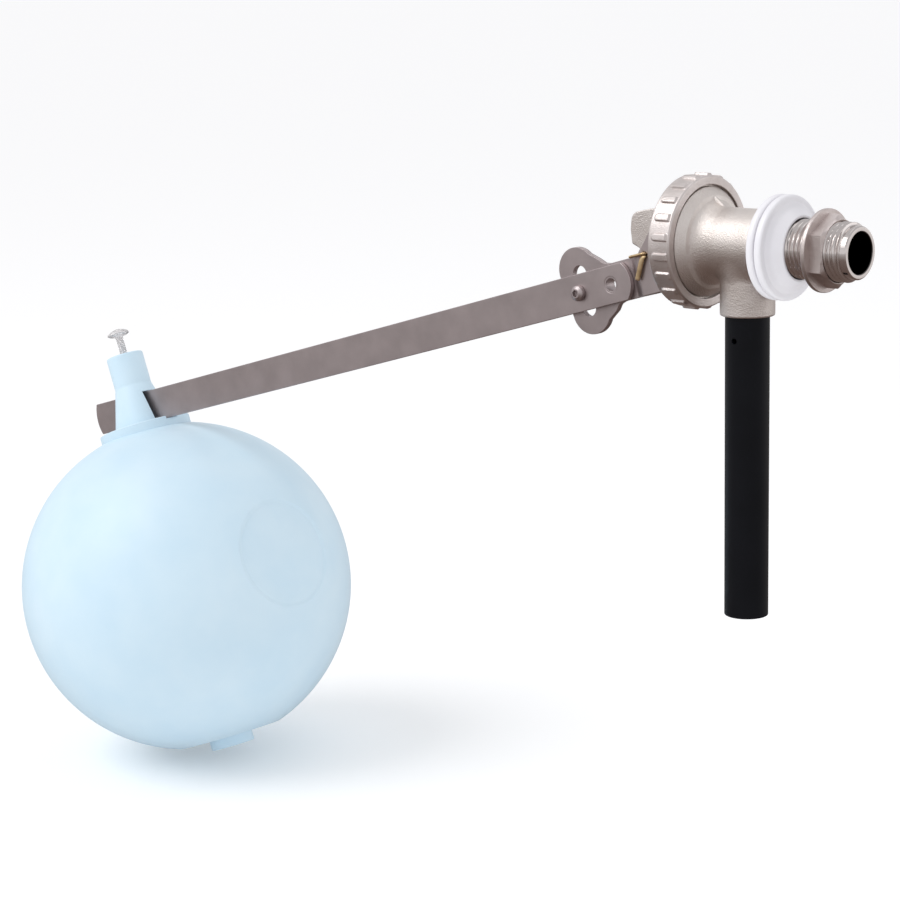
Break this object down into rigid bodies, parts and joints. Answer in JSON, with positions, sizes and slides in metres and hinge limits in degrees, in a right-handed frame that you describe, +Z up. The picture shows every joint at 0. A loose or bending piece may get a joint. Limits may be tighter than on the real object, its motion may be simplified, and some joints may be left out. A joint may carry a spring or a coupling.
{
  "type": "float valve",
  "caption": "Tank float valve: a ball float on a steel bar lifts a cranked lever that pushes a piston onto the inlet nozzle, with a drop tube, wall washers and lock nut.",
  "frame": {"origin": "on the inlet's axis, in the middle of the tank wall's place between the two white washers", "axes": "+X out of the tank along the inlet, +Z up against the way the outlet tube hangs, the arm reaching towards -X in the XZ plane"},
  "size_m": [0.4357, 0.15, 0.2755],
  "materials": {
    "nickel_cast": "satin nickel plate on cast brass",
    "nickel_turned": "bright nickel plate",
    "brass": "turned brass",
    "stainless": "brushed stainless sheet",
    "float_blue": "pale blue moulded polyethylene",
    "white_plastic": "white moulded plastic",
    "clear_plastic": "milky clear nylon",
    "black_plastic": "black extruded plastic",
    "acetal": "white acetal",
    "rubber": "black rubber"
  },
  "bodies": {
    "valve": {"valve_body": "nickel_cast", "seat_nozzle": "brass", "nozzle_o_ring": "rubber", "cover": "nickel_cast", "cover_gasket": "rubber", "split_pin": "brass", "inner_washer": "white_plastic", "outlet_tube": "black_plastic"},
    "ring_nut": {"ring_nut": "nickel_turned"},
    "piston": {"piston": "acetal", "piston_o_ring": "rubber", "seat_disc": "rubber", "seat_screw": "brass"},
    "lever": {"lever_front_sheet": "stainless", "lever_rear_sheet": "stainless", "push_pin": "stainless", "arm_rivet": "stainless"},
    "arm": {"float_arm": "stainless", "clamp_screw": "stainless", "clamp_washer": "stainless", "clamp_nut": "stainless"},
    "float": {"float_ball": "float_blue", "float_plug": "float_blue"},
    "thumb_screw": {"thumb_screw": "clear_plastic"},
    "outer_washer": {"outer_washer": "white_plastic"},
    "lock_nut": {"lock_nut": "nickel_turned"}
  },
  "joints": [
    {"name": "lever_swing", "type": "hinge", "parent": "valve", "child": "lever", "pos_m": [-0.0584, 0, -0.006], "axis": [0, 1, 0], "range_deg": [0, 30]},
    {"name": "piston_travel", "type": "slide", "parent": "valve", "child": "piston", "axis": [1, 0, 0], "range_m": [0, 0.00312]},
    {"name": "arm_angle", "type": "hinge", "parent": "lever", "child": "arm", "pos_m": [-0.07551, -0.0025, -0.01835], "axis": [0, 1, 0], "range_deg": [-25, 25]},
    {"name": "float_slide", "type": "slide", "parent": "arm", "child": "float", "axis": [0.9633, 0, 0.2684], "range_m": [-0.01, 0.15]},
    {"name": "thumb_screw_turn", "type": "hinge", "parent": "float", "child": "thumb_screw", "pos_m": [-0.35771, -0.0025, -0.09682], "axis": [-0.3595, 0, 0.9331], "continuous": true},
    {"name": "ring_nut_turn", "type": "hinge", "parent": "valve", "child": "ring_nut", "pos_m": [-0.037, 0, 0], "axis": [1, 0, 0], "continuous": true},
    {"name": "outer_washer_travel", "type": "slide", "parent": "valve", "child": "outer_washer", "axis": [1, 0, 0], "range_m": [0, 0.0075]},
    {"name": "lock_nut_travel", "type": "slide", "parent": "valve", "child": "lock_nut", "axis": [1, 0, 0], "range_m": [-0.007, 0.0075]}
  ],
  "couplings": [
    {"joint": "piston_travel", "follows": "lever_swing", "m_per_rad": 0.005958}
  ]
}
